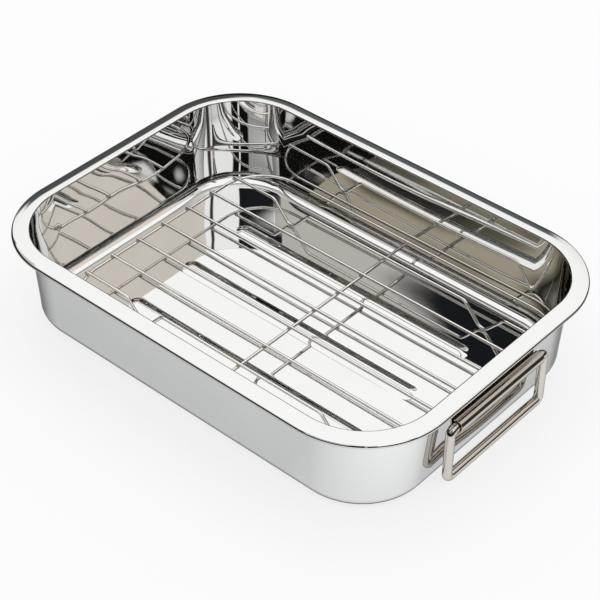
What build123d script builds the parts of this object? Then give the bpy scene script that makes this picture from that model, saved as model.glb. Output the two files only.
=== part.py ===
from build123d import *

import os
from math import cos, radians, sin, sqrt, tan

# A stainless roasting pan with two drop handles and a loose wire rack.
# Millimetres, +Z up, +X along the pan. The origin is the middle of the flat base.

# Pan: one pressed sheet with a flange that falls away to a rolled lip
rim_length = 380.0
rim_width = 280.0
pan_height = 76.5
rim_corner_radius = 68.0
sheet = 0.7
flange_width = 12.0
flange_bend_radius = 1.5
flange_fall_degrees = 15.0
lip_radius = 1.8
lip_curl_degrees = 250.0
wall_draft_degrees = 2.8
base_radius = 10.5

# Floor beads: three shallow ribs pressed up from below
bead_length = 230.0
bead_width = 17.0
bead_height = 2.0
bead_flank_degrees = 66.0
bead_foot_gap = 4.0
bead_count = 3

# Hinge bracket: a leaf welded under the flange, rolled round the handle's rod
leaf = 1.1
bracket_length = 93.0
leaf_top_drop = 9.5
leaf_height = 11.0
leaf_corner_radius = 4.0
hinge_drop = 28.8
hinge_stand_off = 1.1
rod_clearance = 0.6
roll_degrees = 300.0

# Bail: the drop handle, one round rod bent to a closed loop
rod_diameter = 7.0
bail_bend_radius = 4.0
bail_end_gap = 2.8
bail_ground_gap = 0.8

# Rack: a wire frame, seven long wires on top of it and a cross wire under them
wire_diameter = 2.5
rack_end_slack = 16.6
rack_side_slack = 11.3
rack_shift_x_share = 0.63
rack_shift_y_share = 0.76
frame_corner_step = 11.7
long_wire_count = 7
frame_side_gap = 29.25
wire_overhang = 1.0
foot_depth = 17.0
foot_inset = 61.0
foot_half_width = 18.0
foot_half_flat = 3.0
foot_bend_radius = 6.0
seat_gap = 0.3


os.makedirs("parts", exist_ok=True)


def finish(builder, name):
    """Label the piece and write its file."""
    builder.part.label = name
    export_step(builder.part, f"parts/{name}.step")


# The pan's section, seen along the rim: u runs outward from the middle of the
# corner's arc, z runs up from the base. It is the middle line of the sheet.
half_sheet = sheet / 2
draft = radians(wall_draft_degrees)
flange_fall = radians(flange_fall_degrees)
corner_x = rim_length / 2 - rim_corner_radius
corner_y = rim_width / 2 - rim_corner_radius
flange_z = pan_height - half_sheet
flange_u = rim_corner_radius - flange_width
flange_run = flange_width - lip_radius
lip_line_radius = lip_radius - half_sheet
lip_u = rim_corner_radius - lip_radius
lip_z = flange_z - flange_run * tan(flange_fall / 2) - lip_line_radius
flange_line_radius = flange_run / sin(flange_fall) + lip_line_radius
bend_line_radius = flange_bend_radius - half_sheet
bend_z = pan_height - flange_bend_radius
wall_top_u = flange_u - bend_line_radius * cos(draft)
wall_top_z = bend_z + bend_line_radius * sin(draft)
base_line_radius = base_radius - half_sheet
wall_foot_z = base_radius - base_line_radius * sin(draft)
wall_foot_u = wall_top_u - (wall_top_z - wall_foot_z) * tan(draft)
floor_edge_u = wall_foot_u - base_line_radius * cos(draft)


def wall_u(z, side):
    """Where the wall is at height z: side 1 is its outer face, side -1 its inner."""
    middle = wall_top_u - (wall_top_z - z) * tan(draft)
    return middle + side * half_sheet / cos(draft)


def pan_section(plane):
    """The sheet's section on a plane whose x runs outward and y runs up."""
    with BuildSketch(plane) as section:
        with BuildLine():
            CenterArc(
                (lip_u, lip_z),
                lip_line_radius,
                90 - flange_fall_degrees - lip_curl_degrees,
                lip_curl_degrees,
            )
            CenterArc(
                (flange_u, flange_z - flange_line_radius),
                flange_line_radius,
                90 - flange_fall_degrees,
                flange_fall_degrees,
            )
            CenterArc((flange_u, bend_z), bend_line_radius, 90, 90 - wall_draft_degrees)
            Line((wall_top_u, wall_top_z), (wall_foot_u, wall_foot_z))
            CenterArc(
                (floor_edge_u, base_radius),
                base_line_radius,
                -wall_draft_degrees,
                wall_draft_degrees - 90,
            )
            Line((floor_edge_u, half_sheet), (0, half_sheet))
        trace(line_width=sheet)
    return section.sketch


# The rack's place and outline follow the wall at the frame's height
wire_radius = wire_diameter / 2
foot_z = sheet + seat_gap + wire_radius
long_wire_z = foot_z + foot_depth
frame_z = long_wire_z - wire_diameter
room_x = corner_x + wall_u(frame_z, -1)
room_y = corner_y + wall_u(frame_z, -1)
rack_x = rack_shift_x_share * rack_end_slack
rack_y = rack_shift_y_share * rack_side_slack
frame_half_length = room_x - rack_end_slack - wire_radius
frame_half_width = room_y - rack_side_slack - wire_radius
frame_corner_radius = wall_u(frame_z, -1) - frame_corner_step
outer_wire_y = frame_half_width - frame_side_gap
wire_pitch = 2 * outer_wire_y / (long_wire_count - 1)
foot_x = frame_half_length - foot_inset

# Beads lie beside the feet of the front wire, and the row is centred on the pan
front_foot_y = outer_wire_y - rack_y
bead_row_y = front_foot_y - wire_radius - bead_foot_gap - bead_width / 2
bead_pitch = 2 * bead_row_y / (bead_count - 1)

with BuildPart() as pan:
    add(
        extrude(
            pan_section(Plane((0, corner_y, 0), x_dir=(0, 1, 0), z_dir=(1, 0, 0))),
            amount=corner_x,
            mode=Mode.PRIVATE,
        )
    )
    add(
        extrude(
            pan_section(Plane((corner_x, 0, 0), x_dir=(1, 0, 0), z_dir=(0, -1, 0))),
            amount=-corner_y,
            mode=Mode.PRIVATE,
        )
    )
    add(
        revolve(
            pan_section(Plane((corner_x, corner_y, 0), x_dir=(1, 0, 0), z_dir=(0, -1, 0))),
            axis=Axis((corner_x, corner_y, 0), (0, 0, 1)),
            revolution_arc=90,
            mode=Mode.PRIVATE,
        )
    )
    Box(corner_x, corner_y, sheet, align=(Align.MIN, Align.MIN, Align.MIN))
    mirror(about=Plane.YZ)
    mirror(about=Plane.XZ)
    # Each bead stands up inside and is hollow below
    with BuildSketch(Plane.XY.offset(sheet)):
        with GridLocations(0, bead_pitch, 1, bead_count):
            SlotOverall(bead_length, bead_width)
    extrude(amount=bead_height, taper=bead_flank_degrees)
    with BuildSketch(Plane.XY):
        with GridLocations(0, bead_pitch, 1, bead_count):
            SlotOverall(bead_length, bead_width)
    extrude(amount=bead_height, taper=bead_flank_degrees, mode=Mode.SUBTRACT)
finish(pan, "pan")

# The hinge line, outside the wall and below the flange
roll_line_radius = rod_diameter / 2 + rod_clearance + leaf / 2
hinge_z = pan_height - hinge_drop
hinge_x = corner_x + wall_u(hinge_z, 1) + hinge_stand_off + roll_line_radius + leaf / 2
leaf_top_z = pan_height - leaf_top_drop
leaf_foot_z = leaf_top_z - leaf_height


def leaf_x(z):
    """The middle line of a leaf that lies on the wall's outer face."""
    return corner_x + wall_u(z, 1) + leaf / 2 / cos(draft)


with BuildPart() as hinge_bracket_right:
    with BuildSketch(Plane.XZ):
        with BuildLine():
            Polyline(
                (leaf_x(leaf_top_z), leaf_top_z),
                (leaf_x(leaf_foot_z), leaf_foot_z),
                (hinge_x - roll_line_radius, hinge_z),
            )
            CenterArc((hinge_x, hinge_z), roll_line_radius, 180, roll_degrees)
        trace(line_width=leaf)
    extrude(amount=bracket_length / 2, both=True)
    top_edges = hinge_bracket_right.faces().sort_by(Axis.Z)[-1].edges()
    fillet(top_edges.sort_by(SortBy.LENGTH)[:2], leaf_corner_radius)
finish(hinge_bracket_right, "hinge_bracket_right")

with BuildPart() as hinge_bracket_left:
    add(mirror(hinge_bracket_right.part, about=Plane.YZ, mode=Mode.PRIVATE))
finish(hinge_bracket_left, "hinge_bracket_left")

# The bail hangs straight down. Its arms pass the bracket's ends.
rod_radius = rod_diameter / 2
arm_y = bracket_length / 2 + bail_end_gap + rod_radius
grip_z = rod_radius + bail_ground_gap

with BuildPart() as bail_right:
    with BuildLine():
        FilletPolyline(
            (hinge_x, 0, hinge_z),
            (hinge_x, arm_y, hinge_z),
            (hinge_x, arm_y, grip_z),
            (hinge_x, 0, grip_z),
            radius=bail_bend_radius,
        )
    with BuildSketch(Plane((hinge_x, 0, hinge_z), z_dir=(0, 1, 0))):
        Circle(rod_radius)
    sweep()
    mirror(about=Plane.XZ)
finish(bail_right, "bail_right")

with BuildPart() as bail_left:
    add(mirror(bail_right.part, about=Plane.YZ, mode=Mode.PRIVATE))
finish(bail_left, "bail_left")


# The rack's own planes: its middle across and its middle along
rack_across = Plane.YZ.offset(rack_x)
rack_along = Plane.XZ.offset(-rack_y)

with BuildPart() as rack_frame:
    back_y = rack_y + frame_half_width
    end_x = rack_x + frame_half_length
    with BuildLine():
        FilletPolyline(
            (rack_x, back_y, frame_z),
            (end_x, back_y, frame_z),
            (end_x, rack_y, frame_z),
            radius=frame_corner_radius,
        )
    with BuildSketch(Plane((rack_x, back_y, frame_z), z_dir=(1, 0, 0))):
        Circle(wire_radius)
    sweep()
    mirror(about=rack_across)
    mirror(about=rack_along)
finish(rack_frame, "rack_frame")


def frame_reach(y):
    """Half the frame's length at a distance y from its long middle line."""
    past = abs(y) - (frame_half_width - frame_corner_radius)
    if past <= 0:
        return frame_half_length
    return frame_half_length - frame_corner_radius + sqrt(frame_corner_radius**2 - past**2)


# The outer long wires dip to the floor twice and carry the rack; the others are straight
for index in range(long_wire_count):
    across = (index - (long_wire_count - 1) / 2) * wire_pitch
    wire_y = rack_y + across
    end_x = frame_reach(across) + wire_overhang
    is_foot_wire = index in (0, long_wire_count - 1)
    with BuildPart() as rack_wire:
        with BuildLine():
            if is_foot_wire:
                FilletPolyline(
                    (rack_x, wire_y, long_wire_z),
                    (rack_x + foot_x - foot_half_width, wire_y, long_wire_z),
                    (rack_x + foot_x - foot_half_flat, wire_y, foot_z),
                    (rack_x + foot_x + foot_half_flat, wire_y, foot_z),
                    (rack_x + foot_x + foot_half_width, wire_y, long_wire_z),
                    (rack_x + end_x, wire_y, long_wire_z),
                    radius=foot_bend_radius,
                )
            else:
                Line((rack_x, wire_y, long_wire_z), (rack_x + end_x, wire_y, long_wire_z))
        with BuildSketch(Plane((rack_x, wire_y, long_wire_z), z_dir=(1, 0, 0))):
            Circle(wire_radius)
        sweep()
        mirror(about=rack_across)
    finish(rack_wire, f"rack_wire_{index + 1}")

# The cross wire lies level with the frame and butts against its long sides
with BuildPart() as rack_cross_wire:
    with BuildSketch(rack_along):
        with Locations((rack_x, frame_z)):
            Circle(wire_radius)
    extrude(amount=frame_half_width - wire_radius, both=True)
finish(rack_cross_wire, "rack_cross_wire")
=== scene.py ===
"""Looks, light and camera for a stainless roasting pan with a loose wire rack.

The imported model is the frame. Every piece below is a surface worked out with numpy in
millimetres, in the frame's own axes: +X along the pan, +Z up, the base's middle at zero.
"""

import logging
import math
from dataclasses import dataclass
from enum import Enum

import bpy
import numpy as np
from mathutils import Matrix, Vector


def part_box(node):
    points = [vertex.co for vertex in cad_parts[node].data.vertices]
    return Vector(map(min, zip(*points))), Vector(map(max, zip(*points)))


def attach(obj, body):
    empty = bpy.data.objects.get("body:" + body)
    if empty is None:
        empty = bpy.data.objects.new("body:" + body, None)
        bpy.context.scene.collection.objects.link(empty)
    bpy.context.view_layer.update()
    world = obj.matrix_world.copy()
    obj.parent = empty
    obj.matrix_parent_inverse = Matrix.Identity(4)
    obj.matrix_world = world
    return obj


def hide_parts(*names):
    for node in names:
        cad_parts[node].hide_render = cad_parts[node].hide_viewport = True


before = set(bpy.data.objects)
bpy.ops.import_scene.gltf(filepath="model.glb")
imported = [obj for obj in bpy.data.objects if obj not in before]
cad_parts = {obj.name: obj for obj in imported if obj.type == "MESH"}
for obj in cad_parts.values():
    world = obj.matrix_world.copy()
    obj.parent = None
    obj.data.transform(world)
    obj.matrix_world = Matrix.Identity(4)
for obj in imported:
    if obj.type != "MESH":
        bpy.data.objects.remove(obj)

log = logging.getLogger("roasting_pan")

Array = np.ndarray
MM = 0.001
UP = np.array([0.0, 0.0, 1.0])
WHITE = "FFFFFF"
END_RINGS = 5  # rings that round the edge of a rod's cut end


def linear(hex_colour: str) -> tuple[float, float, float, float]:
    """Turn an sRGB hex colour into linear RGBA.

    Args:
        hex_colour: six hex digits, without a mark before them.

    Returns:
        Red, green and blue in linear light, and an alpha of 1.
    """
    shares = np.array([int(hex_colour[i : i + 2], 16) for i in (0, 2, 4)]) / 255
    low, high = shares / 12.92, ((shares + 0.055) / 1.055) ** 2.4
    red, green, blue = np.where(shares <= 0.04045, low, high).tolist()
    return red, green, blue, 1.0


def box_mm(node: str) -> tuple[Array, Array]:
    """Lowest and highest corner of a node of the frame, in millimetres."""
    low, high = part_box(node)
    return np.array(low) / MM, np.array(high) / MM


# Surfaces


@dataclass(frozen=True)
class Surface:
    """A mesh in millimetres.

    Attributes:
        points: one row of three for each point.
        normals: the true outward normal at each point.
        faces: arrays of point numbers, each with three or four columns.
    """

    points: Array
    normals: Array
    faces: tuple[Array, ...]

    def joined(self, *others: "Surface") -> "Surface":
        """This surface and others as one mesh, without welding them.

        Args:
            others: the surfaces that follow this one.

        Returns:
            One surface with all the points and faces.
        """
        points, normals, faces = [self.points], [self.normals], list(self.faces)
        count = len(self.points)
        for other in others:
            points.append(other.points)
            normals.append(other.normals)
            faces.extend(part + count for part in other.faces)
            count += len(other.points)
        return Surface(np.concatenate(points), np.concatenate(normals), tuple(faces))

    def facing_out(self, part: Array) -> Array:
        """Faces turned so that their winding agrees with the true normals.

        A face is turned where (corner 3 - corner 1) x (last corner - corner 2) points
        against the sum of its corners' normals.

        Args:
            part: point numbers, one row for each face.

        Returns:
            The same faces, with the wrong ones reversed.
        """
        corner = self.points[part]
        across = np.cross(corner[:, 2] - corner[:, 0], corner[:, -1] - corner[:, 1])
        wanted = self.normals[part].sum(axis=1)
        wrong = (across * wanted).sum(axis=1) < 0
        part = part.copy()
        part[wrong] = part[wrong][:, ::-1]
        return part

    def to_object(self, name: str, material: bpy.types.Material) -> bpy.types.Object:
        """Make the Blender object, in metres, at the origin.

        Args:
            name: the object's name.
            material: the finish that it gets.

        Returns:
            The new object, with its exact normals stored.
        """
        parts = [self.facing_out(part) for part in self.faces if len(part)]
        sizes = np.concatenate([np.full(len(part), part.shape[1]) for part in parts])
        corners = np.concatenate([part.ravel() for part in parts])
        mesh = bpy.data.meshes.new(name)
        mesh.vertices.add(len(self.points))
        mesh.vertices.foreach_set("co", (self.points * MM).astype(np.float32).ravel())
        mesh.loops.add(len(corners))
        mesh.loops.foreach_set("vertex_index", corners.astype(np.int32))
        mesh.polygons.add(len(sizes))
        starts = np.concatenate([[0], np.cumsum(sizes)[:-1]])
        mesh.polygons.foreach_set("loop_start", starts.astype(np.int32))
        mesh.polygons.foreach_set("use_smooth", np.ones(len(sizes), bool))
        mesh.update(calc_edges=True)
        mesh.validate()
        mesh.normals_split_custom_set_from_vertices(self.normals.tolist())
        mesh.materials.append(material)
        made = bpy.data.objects.new(name, mesh)
        bpy.context.scene.collection.objects.link(made)
        return made


def grid_faces(rows: int, columns: int, closed_rows: bool, closed_columns: bool) -> Array:
    """Quads of a grid whose point in row r and column c is number r * columns + c.

    Args:
        rows: how many rows of points there are.
        columns: how many points a row has.
        closed_rows: whether the last row joins the first.
        closed_columns: whether each row's last point joins its first.

    Returns:
        One row of four point numbers for each quad.
    """
    r = np.arange(rows if closed_rows else rows - 1)[:, None]
    c = np.arange(columns if closed_columns else columns - 1)[None, :]
    after_r, after_c = (r + 1) % rows, (c + 1) % columns
    quads = [r * columns + c, r * columns + after_c, after_r * columns + after_c, after_r * columns + c]
    return np.stack(np.broadcast_arrays(*quads), axis=-1).reshape(-1, 4)


def unit(vectors: Array) -> Array:
    """Vectors scaled to a length of one, along the last axis."""
    return vectors / np.linalg.norm(vectors, axis=-1, keepdims=True)


def smooth_step(value: Array, low: float, high: float) -> Array:
    """0 up to low, 1 from high, and 3t^2 - 2t^3 between them."""
    share = np.clip((value - low) / (high - low), 0, 1)
    return share * share * (3 - 2 * share)


@dataclass(frozen=True)
class Path:
    """A line of points in a plane, with the directions across it.

    Attributes:
        points: one row of three for each point.
        along: unit tangents.
        across: unit vectors in the plane, square to the line.
        closed: whether the last point joins the first.
    """

    points: Array
    along: Array
    across: Array
    closed: bool


def bent_path(
    corners: list[tuple[float, float, float]],
    plane_normal: tuple[float, float, float],
    radius: float,
    run_step: float,
    bend_steps: int,
    closed: bool = False,
) -> Path:
    """Straight runs joined by tangent arcs, all in one plane.

    At a corner that turns by an angle w, the arc starts radius * tan(w / 2) before the
    corner. Its points are centre + radius * (sin a * along - (1 - cos a) * side), with a
    from 0 to w.

    Args:
        corners: the corners of the route, in order.
        plane_normal: a unit vector square to the route's plane.
        radius: radius of every arc.
        run_step: longest step on a straight run.
        bend_steps: steps of each arc.
        closed: whether the last corner joins the first.

    Returns:
        The path, with its tangents and its directions across.
    """
    corner = np.array(corners, float)
    flat = np.array(plane_normal, float)
    count = len(corner)
    legs = unit(np.roll(corner, -1, axis=0) - corner)
    pieces, tangents = [], []

    def run(start: Array, end: Array, direction: Array) -> None:
        """Add a straight run, in steps no longer than run_step.

        Args:
            start: its first point.
            end: its last point.
            direction: its unit tangent.
        """
        length = float(np.linalg.norm(end - start))
        steps = max(1, math.ceil(length / run_step))
        share = np.linspace(0, 1, steps + 1)[:, None]
        pieces.append(start + share * (end - start))
        tangents.append(np.broadcast_to(direction, (steps + 1, 3)))

    bends = range(count) if closed else range(1, count - 1)
    ends = {}
    for i in bends:
        before, after = legs[i - 1], legs[i]
        turn = math.acos(float(np.clip(before @ after, -1, 1)))
        reach = radius * math.tan(turn / 2)
        ends[i] = (corner[i] - reach * before, corner[i] + reach * after)
    for i in range(count if closed else count - 1):
        following = (i + 1) % count
        start = ends[i][1] if i in ends else corner[i]
        end = ends[following][0] if following in ends else corner[following]
        run(start, end, legs[i])
        if following in ends:
            before, after = legs[i], legs[following]
            inward = unit(after - (after @ before) * before)
            turn = math.acos(float(np.clip(before @ after, -1, 1)))
            angle = np.linspace(0, turn, bend_steps + 1)[1:-1, None]
            arc = end + radius * (np.sin(angle) * before + (1 - np.cos(angle)) * inward)
            pieces.append(arc)
            tangents.append(np.cos(angle) * before + np.sin(angle) * inward)
    along = np.concatenate(tangents)
    return Path(np.concatenate(pieces), along, np.cross(along, flat), closed)


def round_rod(path: Path, radius: float, sides: int, end_round: float = 0.0) -> Surface:
    """A round rod along a path, with softly rounded cut ends.

    A point is path + radius * (cos a * across + sin a * (across x along)). Near an end,
    rings draw in: a ring at angle b lies end_round * (1 - sin b) before the end, with the
    radius less end_round * (1 - cos b), and one last point closes the middle.

    Args:
        path: the middle line.
        radius: the rod's radius.
        sides: points round the rod.
        end_round: radius of the edge of a cut end.

    Returns:
        The rod's surface.
    """
    angle = np.linspace(0, 2 * np.pi, sides, endpoint=False)
    points, along, across = path.points, path.along, path.across
    radii, lean = np.full(len(points), radius), np.zeros(len(points))
    if not path.closed:
        bend = np.linspace(0, np.pi / 2, END_RINGS)
        sine, cosine = np.sin(bend), np.cos(bend)
        start = points[0] + along[0] * end_round * (1 - sine[::-1, None])
        end = points[-1] - along[-1] * end_round * (1 - sine[:, None])
        points = np.concatenate([start, points[1:-1], end])
        drawn = radius - end_round * (1 - cosine)
        radii = np.concatenate([drawn[::-1], radii[1:-1], drawn])
        lean = np.concatenate([-bend[::-1], lean[1:-1], bend])
        first, last = np.zeros(END_RINGS, int), np.full(END_RINGS, len(along) - 1)
        rows = np.concatenate([first, np.arange(1, len(along) - 1), last])
        along, across = along[rows], across[rows]
    third = np.cross(across, along)
    ring = np.cos(angle)[None, :, None] * across[:, None] + np.sin(angle)[None, :, None] * third[:, None]
    body = points[:, None] + radii[:, None, None] * ring
    normals = np.cos(lean)[:, None, None] * ring + np.sin(lean)[:, None, None] * along[:, None]
    faces = grid_faces(len(points), sides, path.closed, True)
    body, normals = body.reshape(-1, 3), normals.reshape(-1, 3)
    if path.closed:
        return Surface(body, normals, (faces,))
    around = np.arange(sides)
    last = (len(points) - 1) * sides
    count = len(body)
    caps = np.concatenate(
        [
            np.stack([around, (around + 1) % sides, np.full(sides, count)], axis=-1),
            np.stack([last + around, last + (around + 1) % sides, np.full(sides, count + 1)], axis=-1),
        ]
    )
    body = np.concatenate([body, points[:1], points[-1:]])
    normals = np.concatenate([normals, -along[:1], along[-1:]])
    return Surface(body, normals, (faces, caps))


# Finishes


class Space(Enum):
    """Where a pattern is anchored."""

    OBJECT = "Object"
    SKY = "Generated"


def add_node(
    tree: bpy.types.NodeTree,
    kind: str,
    settings: dict[str, object] | None = None,
    links: dict[str | int, bpy.types.NodeSocket] | None = None,
) -> bpy.types.Node:
    """Add a node, with its settings and what feeds it.

    Args:
        tree: the node tree.
        kind: the node's type, such as ShaderNodeTexNoise.
        settings: attributes by name, or socket values by the socket's name or number.
        links: the output sockets that feed its inputs, by name or number.

    Returns:
        The new node.
    """
    node = tree.nodes.new(kind)
    for key, value in (settings or {}).items():
        if isinstance(key, str) and hasattr(node, key):
            setattr(node, key, value)
        else:
            node.inputs[key].default_value = value
    for key, socket in (links or {}).items():
        tree.links.new(socket, node.inputs[key])
    return node


def bare_metal(name: str) -> tuple[bpy.types.Material, bpy.types.Node, bpy.types.NodeSocket]:
    """Start a metal's material, with the default IOR.

    Args:
        name: the material's name.

    Returns:
        The material, its shader and the socket of the Object coordinates.
    """
    made = bpy.data.materials.new(name)
    made.use_nodes = True
    tree = made.node_tree
    shader = tree.nodes["Principled BSDF"]
    shader.inputs["Metallic"].default_value = 1.0
    return made, shader, add_node(tree, "ShaderNodeTexCoord").outputs[Space.OBJECT.value]


@dataclass(frozen=True)
class PolishedSteel:
    """18/8 stainless steel, cold rolled or drawn, then buffed to a mirror.

    It is a bare metal: all of its colour is in the reflection. Buffing leaves hair lines
    too fine to see one by one, so they are drawn 1 to 2 mm apart and only haze the
    reflection in streaks. Where the compound was wiped off there is a slow cloudiness.

    Attributes:
        name: the material's name.
        colour: sRGB hex of the reflection at normal incidence.
        roughness: of the cleanest spots.
        haze: how much rougher the streaks and wiped patches are.
        line_step: distance between streaks, in millimetres.
        line_turn: turn of the streaks about Z, in degrees.
        edge: sRGB hex of the tint at grazing angles, where steel reflects least; a dark one paints shade
            along a rounded part's edges.
        line_stretch: how many times longer than their distance the streaks are.
        clouds_per_metre: how many wiped patches lie in a metre.
        patchiness: values of streak times cloud between which the haze grows.
        cloud_tone: how bright the reflection stays in the wiped patches.
    """

    name: str
    colour: str
    roughness: float
    haze: float
    line_step: float
    line_turn: float = 0.0
    edge: str = "B0AEAA"
    line_stretch: float = 25.0
    clouds_per_metre: float = 22.0
    patchiness: tuple[float, float] = (0.15, 0.45)
    cloud_tone: float = 0.95

    def material(self) -> bpy.types.Material:
        """Build the node material.

        Returns:
            The material, ready for a mesh.
        """
        made, shader, place = bare_metal(self.name)
        tree = made.node_tree
        # A dark edge tint paints shade where the surface turns away from the camera.
        shader.inputs["Specular Tint"].default_value = linear(self.edge)
        clean = linear(self.colour)
        turned = add_node(
            tree,
            "ShaderNodeMapping",
            {"Rotation": (0, 0, math.radians(self.line_turn)), "Scale": (1 / self.line_stretch, 1, 1)},
            {"Vector": place},
        ).outputs[0]
        lines = add_node(
            tree,
            "ShaderNodeTexNoise",
            {"Scale": 1 / (self.line_step * MM), "Detail": 3.0, "Roughness": 0.6},
            {"Vector": turned},
        ).outputs["Fac"]
        clouds = add_node(
            tree,
            "ShaderNodeTexNoise",
            {"Scale": self.clouds_per_metre, "Detail": 4.0, "Roughness": 0.55},
            {"Vector": place},
        ).outputs["Fac"]
        both = add_node(
            tree, "ShaderNodeMath", {"operation": "MULTIPLY"}, {0: lines, 1: clouds}
        ).outputs[0]
        rough = add_node(
            tree,
            "ShaderNodeMapRange",
            {
                "From Min": self.patchiness[0],
                "From Max": self.patchiness[1],
                "To Min": self.roughness,
                "To Max": self.roughness + self.haze,
            },
            {"Value": both},
        ).outputs[0]
        tone = add_node(
            tree,
            "ShaderNodeMix",
            {"data_type": "RGBA", 6: clean, 7: (*(self.cloud_tone * c for c in clean[:3]), 1.0)},
            {0: clouds},
        ).outputs[2]
        tree.links.new(tone, shader.inputs["Base Color"])
        tree.links.new(rough, shader.inputs["Roughness"])
        return made


@dataclass(frozen=True)
class WeldTint:
    """A resistance weld on stainless wire, left as it was made.

    The heat leaves a thin oxide, so each lump is satin and speckled from straw to brown.

    Attributes:
        name: the material's name.
        straw: sRGB hex of the thinner oxide.
        brown: sRGB hex of the thicker oxide.
        spots_per_metre: how many speckles lie in a metre, about one in 1.1 mm.
        roughness: of the smoothest and the roughest spots.
    """

    name: str = "weld_heat_tint"
    straw: str = "CDC0A8"
    brown: str = "8A745C"
    spots_per_metre: float = 900.0
    roughness: tuple[float, float] = (0.25, 0.5)

    def material(self) -> bpy.types.Material:
        """Build the node material.

        Returns:
            The material, ready for a mesh.
        """
        made, shader, place = bare_metal(self.name)
        tree = made.node_tree
        spots = add_node(
            tree, "ShaderNodeTexNoise", {"Scale": self.spots_per_metre, "Detail": 2.0}, {"Vector": place}
        ).outputs["Fac"]
        tone = add_node(
            tree,
            "ShaderNodeMix",
            {"data_type": "RGBA", 6: linear(self.straw), 7: linear(self.brown)},
            {0: spots},
        ).outputs[2]
        smooth, coarse = self.roughness
        rough = add_node(
            tree, "ShaderNodeMapRange", {"To Min": smooth, "To Max": coarse}, {"Value": spots}
        ).outputs[0]
        tree.links.new(tone, shader.inputs["Base Color"])
        tree.links.new(rough, shader.inputs["Roughness"])
        return made


# The pan


@dataclass(frozen=True)
class SheetRelief:
    """The slight unevenness that pressing leaves in thin sheet.

    The height at a point p is the sum of amplitude * sin(wave . p + phase) over a few
    waves, and its gradient is the sum of amplitude * cos(wave . p + phase) * wave.

    Attributes:
        slope: the steepest slope of each wave.
        shortest: shortest wavelength, in millimetres.
        longest: longest wavelength, in millimetres.
        waves: how many waves are added up.
        seed: start of the random draw.
        squeeze: scale of each axis before the waves are laid; a small one draws them out.
    """

    slope: float
    shortest: float
    longest: float
    waves: int
    seed: int
    squeeze: tuple[float, float, float] = (1.0, 1.0, 1.0)

    def height(self, points: Array) -> tuple[Array, Array]:
        """Height and its gradient at each point.

        Args:
            points: one row of three for each point, in millimetres.

        Returns:
            The heights, and the gradients as rows of three.
        """
        draw = np.random.default_rng(self.seed)
        direction = unit(draw.normal(size=(self.waves, 3)))
        length = draw.uniform(self.shortest, self.longest, self.waves)
        phase = draw.uniform(0, 2 * np.pi, self.waves)
        wave = direction * (2 * np.pi / length)[:, None] * np.array(self.squeeze)
        amplitude = self.slope * length / (2 * np.pi)
        angle = points @ wave.T + phase
        return np.sin(angle) @ amplitude, (np.cos(angle) * amplitude) @ wave


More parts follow.
